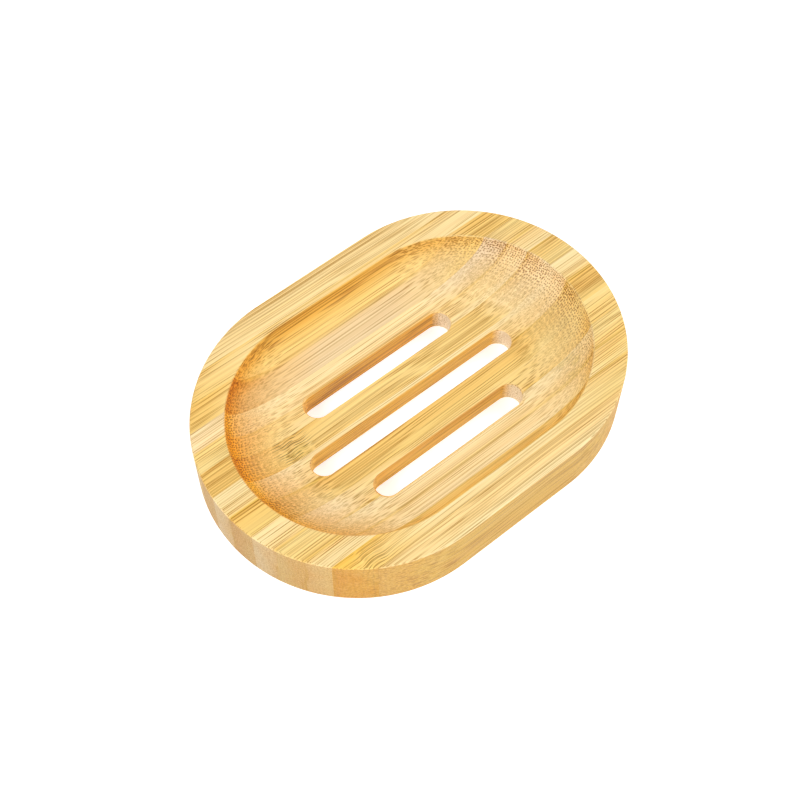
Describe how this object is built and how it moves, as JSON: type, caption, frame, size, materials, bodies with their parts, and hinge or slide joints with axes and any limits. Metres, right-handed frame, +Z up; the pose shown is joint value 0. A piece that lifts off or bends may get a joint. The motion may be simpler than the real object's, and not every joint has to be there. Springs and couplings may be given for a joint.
{
  "type": "soap dish",
  "caption": "Oval laminated bamboo soap dish with a dished recess and lengthwise drain slots through its floor.",
  "frame": {"origin": "middle of the flat underside, which stands on the counter", "axes": "+Z up, X along the long side and the bamboo strips, -Y towards the front long side"},
  "size_m": [0.12, 0.085, 0.018],
  "materials": {
    "bamboo_cream": "sanded bamboo, satin clear oil",
    "bamboo_straw": "sanded bamboo, satin clear oil",
    "bamboo_honey": "sanded bamboo, satin clear oil",
    "bamboo_amber": "sanded bamboo, satin clear oil"
  },
  "bodies": {
    "root": {"back_edge_strip": "bamboo_straw", "back_rim_strip": "bamboo_amber", "back_slope_strip": "bamboo_cream", "back_floor_strip": "bamboo_straw", "back_slot_strip_left": "bamboo_cream", "back_slot_strip_right": "bamboo_cream", "back_bar_strip": "bamboo_honey", "middle_slot_strip": "bamboo_cream", "front_bar_strip": "bamboo_amber", "front_slot_strip": "bamboo_straw", "front_floor_strip": "bamboo_honey", "front_slope_strip": "bamboo_cream", "front_rim_strip": "bamboo_amber", "front_edge_strip": "bamboo_straw"}
  },
  "joints": []
}
